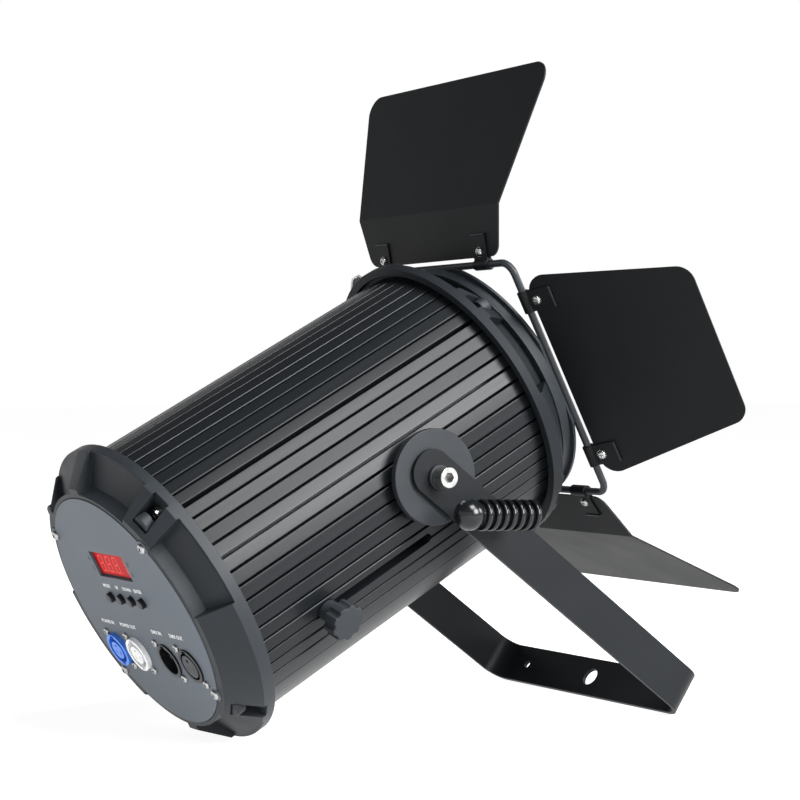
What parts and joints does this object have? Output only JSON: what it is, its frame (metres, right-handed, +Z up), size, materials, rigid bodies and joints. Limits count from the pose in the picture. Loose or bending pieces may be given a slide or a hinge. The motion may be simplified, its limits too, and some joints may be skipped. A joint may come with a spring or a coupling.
{
  "type": "stage par light",
  "caption": "Zoom par lantern on a flat yoke: finned tube head with cast end rings, rear control panel and sockets, barn doors, clamping lever and zoom knob.",
  "frame": {"origin": "on the floor under the centre of the whole light, as it stands on the yoke bar and the rear ring", "axes": "+Z up, -Y the way the beam points, +X to the light's own left"},
  "size_m": [0.3984, 0.4722, 0.4464],
  "materials": {
    "housing_black": "satin",
    "cast_black": "satin",
    "panel_grey": "matte",
    "sheet_black": "matte",
    "yoke_black": "satin",
    "wire_black": "satin",
    "holder_black": "satin",
    "latch_steel": "satin",
    "screw_steel": "satin",
    "bolt_steel": "satin",
    "disc_black": "matte",
    "spacer_black": "matte",
    "lever_black": "gloss",
    "knob_black": "matte",
    "button_black": "satin",
    "display_red": "gloss",
    "display_case": "matte",
    "socket_blue": "satin",
    "socket_white": "satin",
    "socket_black": "satin",
    "contact_brass": "polished",
    "board_green": "matte",
    "supply_metal": "matte",
    "fan_black": "matte",
    "plate_aluminium": "satin",
    "rod_steel": "polished",
    "led_yellow": "gloss",
    "lens_glass": "polished",
    "carriage_black": "satin"
  },
  "bodies": {
    "yoke": {"yoke": "yoke_black", "tilt_brake_pad": "disc_black"},
    "head": {"accessory_holder": "holder_black", "body_housing": "housing_black", "control_board": "board_green", "display_module": "display_case", "display_window": "display_red", "dmx_in": "socket_black", "dmx_in_pins": "contact_brass", "dmx_out": "socket_black", "fan_frame": "fan_black", "friction_discs": "disc_black", "front_lens": "lens_glass", "front_ring": "cast_black", "front_ring_screws": "screw_steel", "guide_rods": "rod_steel", "led_board": "board_green", "led_emitter": "led_yellow", "led_plate": "plate_aluminium", "lens_retainer": "carriage_black", "panel_screws": "screw_steel", "pivot_bolts": "bolt_steel", "pivot_spacers": "spacer_black", "power_in": "socket_blue", "power_out": "socket_white", "power_supply": "supply_metal", "rear_panel": "panel_grey", "rear_ring": "cast_black", "rear_ring_screws": "screw_steel", "rod_ring": "plate_aluminium", "safety_latch": "latch_steel", "socket_screws": "screw_steel"},
    "tilt_lever": {"tilt_lever": "lever_black", "tilt_lever_stud": "bolt_steel"},
    "zoom": {"zoom_carriage": "carriage_black", "zoom_lens": "lens_glass", "zoom_stud": "bolt_steel"},
    "zoom_knob": {"zoom_knob": "knob_black"},
    "fan": {"fan_rotor": "fan_black"},
    "button_1": {"button_1": "button_black"},
    "button_2": {"button_2": "button_black"},
    "button_3": {"button_3": "button_black"},
    "button_4": {"button_4": "button_black"},
    "barn_doors": {"barn_flange": "sheet_black", "barn_frame": "wire_black"},
    "leaf_top": {"leaf_top": "sheet_black", "leaf_top_clips": "sheet_black", "leaf_top_screws": "screw_steel"},
    "leaf_bottom": {"leaf_bottom": "sheet_black", "leaf_bottom_clips": "sheet_black", "leaf_bottom_screws": "screw_steel"},
    "leaf_left": {"leaf_left": "sheet_black", "leaf_left_clips": "sheet_black", "leaf_left_screws": "screw_steel"},
    "leaf_right": {"leaf_right": "sheet_black", "leaf_right_clips": "sheet_black", "leaf_right_screws": "screw_steel"}
  },
  "joints": [
    {"name": "head_tilt", "type": "hinge", "parent": "yoke", "child": "head", "pos_m": [0, 0.03432, 0.17218], "axis": [-1, 0, 0], "range_deg": [-6, 35]},
    {"name": "lever_turn", "type": "hinge", "parent": "yoke", "child": "tilt_lever", "pos_m": [-0.111, -0.00976, 0.14771], "axis": [-1, 0, 0], "continuous": true},
    {"name": "zoom_slide", "type": "slide", "parent": "head", "child": "zoom", "axis": [0, -0.8796, 0.4756], "range_m": [0, 0.06]},
    {"name": "knob_turn", "type": "hinge", "parent": "zoom", "child": "zoom_knob", "pos_m": [-0.10163, 0.10332, 0.08702], "axis": [-0.9239, -0.182, -0.3366], "continuous": true},
    {"name": "fan_spin", "type": "hinge", "parent": "head", "child": "fan", "pos_m": [0, 0.15413, 0.1074], "axis": [0, -0.8796, 0.4756], "continuous": true},
    {"name": "button_1_press", "type": "slide", "parent": "head", "child": "button_1", "axis": [0, -0.8796, 0.4756], "range_m": [0, 0.001], "stiffness_N_per_m": 300, "springref_m": -0.0005},
    {"name": "button_2_press", "type": "slide", "parent": "head", "child": "button_2", "axis": [0, -0.8796, 0.4756], "range_m": [0, 0.001], "stiffness_N_per_m": 300, "springref_m": -0.0005},
    {"name": "button_3_press", "type": "slide", "parent": "head", "child": "button_3", "axis": [0, -0.8796, 0.4756], "range_m": [0, 0.001], "stiffness_N_per_m": 300, "springref_m": -0.0005},
    {"name": "button_4_press", "type": "slide", "parent": "head", "child": "button_4", "axis": [0, -0.8796, 0.4756], "range_m": [0, 0.001], "stiffness_N_per_m": 300, "springref_m": -0.0005},
    {"name": "barn_turn", "type": "hinge", "parent": "head", "child": "barn_doors", "pos_m": [0, -0.07546, 0.23154], "axis": [0, -0.8796, 0.4756], "continuous": true},
    {"name": "leaf_top_swing", "type": "hinge", "parent": "barn_doors", "child": "leaf_top", "pos_m": [0, -0.03887, 0.31225], "axis": [-1, 0, 0], "range_deg": [-52, 18]},
    {"name": "leaf_bottom_swing", "type": "hinge", "parent": "barn_doors", "child": "leaf_bottom", "pos_m": [0, -0.12296, 0.15673], "axis": [1, 0, 0], "range_deg": [-60, 10]},
    {"name": "leaf_left_swing", "type": "hinge", "parent": "barn_doors", "child": "leaf_left", "pos_m": [0.0884, -0.08091, 0.23449], "axis": [0, 0.4756, 0.8796], "range_deg": [-46, 24]},
    {"name": "leaf_right_swing", "type": "hinge", "parent": "barn_doors", "child": "leaf_right", "pos_m": [-0.0884, -0.08091, 0.23449], "axis": [0, -0.4756, -0.8796], "range_deg": [-46, 24]}
  ]
}
